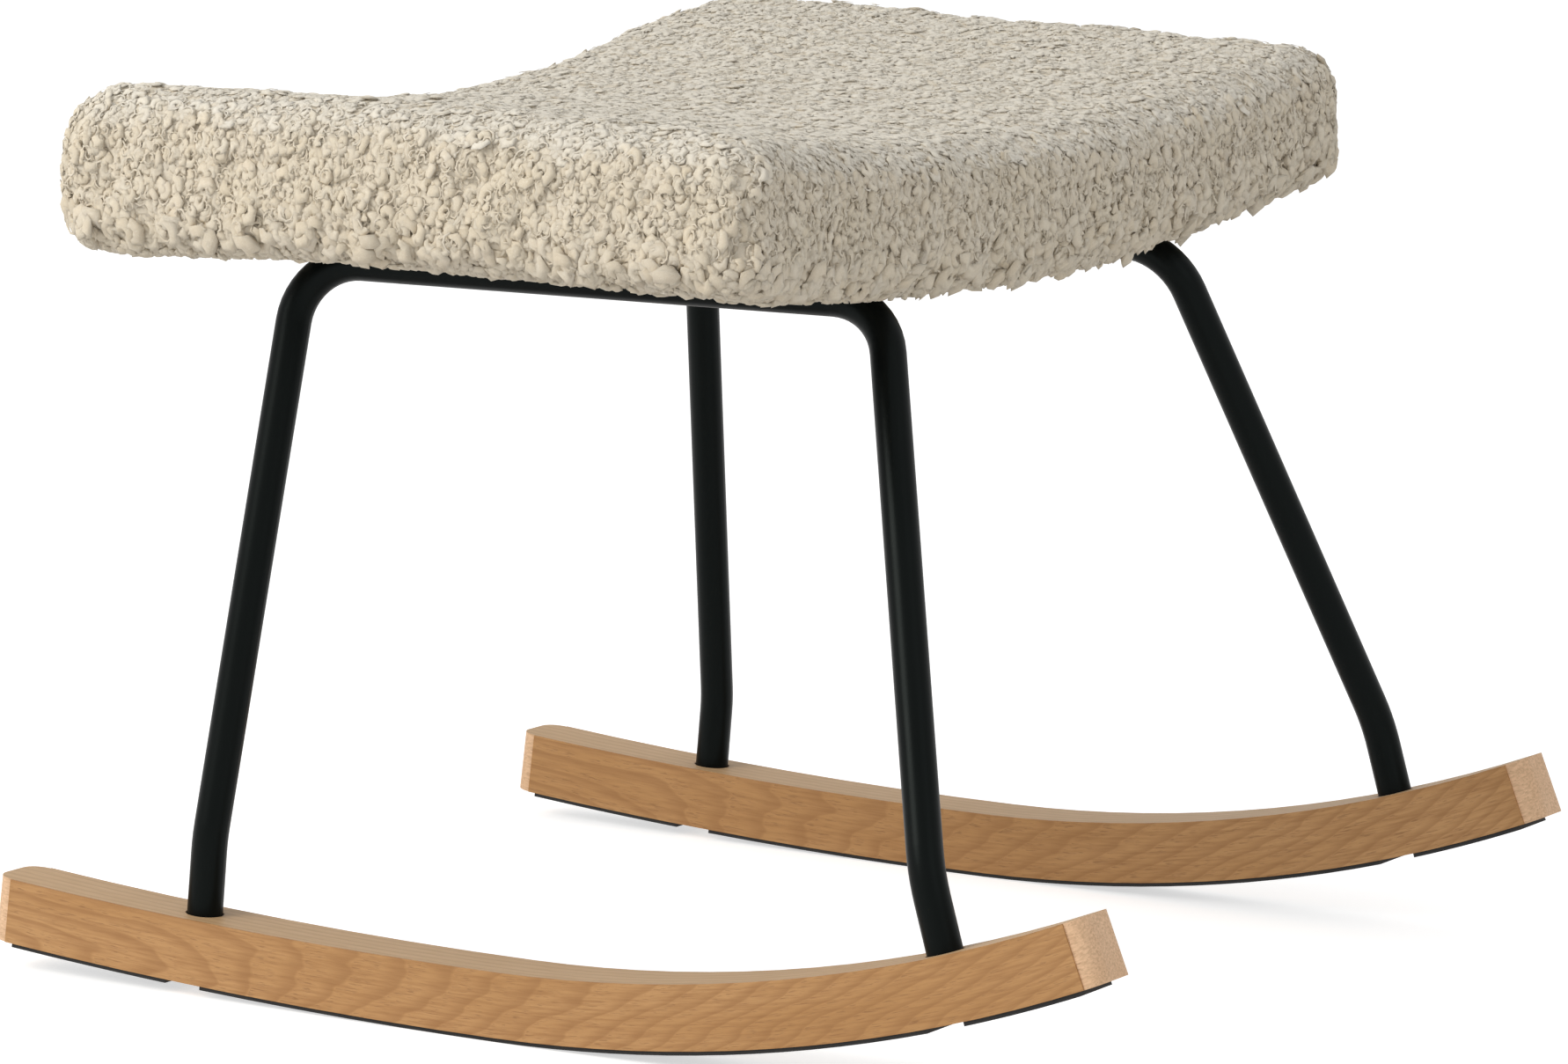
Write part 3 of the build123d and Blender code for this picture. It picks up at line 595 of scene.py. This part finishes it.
fleece, tree, shader = new_material("curly_fleece")
wool = place(tree, "ShaderNodeAttribute", {"attribute_name": "pile"}).outputs["Vector"]
tip, tint, brushed = place(tree, "ShaderNodeSeparateXYZ", Vector=wool).outputs
spot = place(tree, "ShaderNodeTexCoord").outputs["Object"]
hair = place(tree, "ShaderNodeTexNoise", Vector=spot, Scale=650.0, Detail=4.0, Distortion=3.0).outputs[0]
patches = place(tree, "ShaderNodeTexNoise", Vector=spot, Scale=28.0, Detail=3.0).outputs[0]
lock_colour = blend_colours(tree, tint, (0.735, 0.64, 0.495, 1), (0.765, 0.685, 0.555, 1))
patched = blend_colours(tree, reckon(tree, "MULTIPLY", ramp_between(tree, patches, 0.4, 0.7), 0.3),
                        lock_colour, (0.71, 0.615, 0.455, 1))
# Painted light: the flat-brushed top is painted paler and cooler, as the sky lights it from above.
skylit_top = blend_colours(tree, reckon(tree, "MULTIPLY", brushed, 0.85), patched, (0.87, 0.82, 0.715, 1))
# Painted shade: the pile is painted darker towards its roots and in the seams, where shade falls between the locks.
crevice_shaded = blend_colours(tree, ramp_between(tree, tip, 0.0, 0.5), (0.71, 0.61, 0.46, 1), skylit_top)
haired = blend_colours(tree, reckon(tree, "MULTIPLY", ramp_between(tree, hair, 0.5, 0.72), 0.2),
                       crevice_shaded, (0.62, 0.52, 0.38, 1))
# Painted highlights: fine hair streaks are painted paler, as glints on the fibres.
bright_hair = ramp_between(tree, reckon(tree, "SUBTRACT", 1.0, hair), 0.5, 0.72)
glinting = blend_colours(tree, reckon(tree, "MULTIPLY", bright_hair, 0.35), haired, (0.93, 0.88, 0.77, 1))
tree.links.new(glinting, shader.inputs["Base Color"])
shader.inputs["Roughness"].default_value = 0.9
shader.inputs["Specular IOR Level"].default_value = 0.2
shader.inputs["Subsurface Weight"].default_value = 0.25
shader.inputs["Subsurface Radius"].default_value = (1.0, 1.0, 1.0)
shader.inputs["Subsurface Scale"].default_value = 0.0025
shader.inputs["Sheen Weight"].default_value = 0.12
shader.inputs["Sheen Tint"].default_value = (0.95, 0.86, 0.70, 1)
shader.inputs["Sheen Roughness"].default_value = 0.4
bump = place(tree, "ShaderNodeBump", Strength=0.6, Distance=0.0008, Height=hair).outputs[0]
outward = place(tree, "ShaderNodeAttribute", {"attribute_name": "outward"}).outputs["Vector"]
fuzzy = place(tree, "ShaderNodeMix", {"data_type": "VECTOR"}, _0=0.45, _4=bump, _5=outward).outputs[1]
softened = place(tree, "ShaderNodeVectorMath", {"operation": "NORMALIZE"}, _0=fuzzy).outputs[0]
tree.links.new(softened, shader.inputs["Normal"])
cover.data.materials.append(fleece)
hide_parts("fleece_cover")
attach(cover, "root")


# Floor, backdrop and light: a white studio floor under a white sky, a large soft lamp at the front
# left and a weaker one at the front right.
floor_shape = bmesh.new()
bmesh.ops.create_grid(floor_shape, x_segments=1, y_segments=1, size=40)
floor = bpy.data.objects.new("studio_floor", bpy.data.meshes.new("studio_floor"))
floor_shape.to_mesh(floor.data)
floor_shape.free()
scene.collection.objects.link(floor)
floor_white, tree, shader = new_material("floor_white")
shader.inputs["Base Color"].default_value = (0.79, 0.79, 0.79, 1)
shader.inputs["Roughness"].default_value = 0.9
shader.inputs["Specular IOR Level"].default_value = 0.1


def seen_directly(tree):
    """1 for what the camera, a mirror or glass shows, and 0 for light on the object."""
    path = place(tree, "ShaderNodeLightPath").outputs
    shown = reckon(tree, "MAXIMUM", path["Is Camera Ray"], path["Is Glossy Ray"])
    return reckon(tree, "MAXIMUM", shown, path["Is Transmission Ray"])


shader.inputs["Emission Color"].default_value = (1, 1, 1, 1)
tree.links.new(reckon(tree, "MULTIPLY", seen_directly(tree), 0.6), shader.inputs["Emission Strength"])
floor.data.materials.append(floor_white)

sky = bpy.data.worlds.new("studio_sky")
sky.use_nodes = True
scene.world = sky
tree = sky.node_tree
backdrop = tree.nodes["Background"]
backdrop.inputs["Color"].default_value = (1, 1, 1, 1)
tree.links.new(reckon(tree, "MULTIPLY_ADD", seen_directly(tree), 0.38, 0.62), backdrop.inputs["Strength"])


def soft_lamp(name, at, size, power, colour):
    """A square lamp that faces the seat."""
    lamp = bpy.data.lights.new(name, "AREA")
    lamp.size = size
    lamp.energy = power
    lamp.color = colour
    hung = bpy.data.objects.new(name, lamp)
    hung.location = at
    hung.rotation_euler = (Vector((0, 0, 0.25)) - Vector(at)).to_track_quat("-Z", "Y").to_euler()
    scene.collection.objects.link(hung)


soft_lamp("key_lamp", (-1.5, -2.3, 1.7), 1.5, 47, (1.0, 0.97, 0.92))
soft_lamp("fill_lamp", (2.6, -1.2, 1.5), 1.6, 6, (0.97, 0.98, 1.0))


# Camera: a long lens, low at the front right, as the photo was taken.
azimuth, elevation, roll = (math.radians(angle) for angle in (28.215, 8.532, 1.798))
lens = bpy.data.cameras.new("photo_camera")
lens.sensor_fit = "HORIZONTAL"
lens.sensor_width = 36.0
lens.lens = 178.03
camera = bpy.data.objects.new("photo_camera", lens)
camera.matrix_world = (Matrix.Translation((1.6447, -3.0879, 0.7204)) @ Matrix.Rotation(azimuth, 4, "Z")
                       @ Matrix.Rotation(math.pi / 2 - elevation, 4, "X") @ Matrix.Rotation(roll, 4, "Z"))
scene.collection.objects.link(camera)
scene.camera = camera
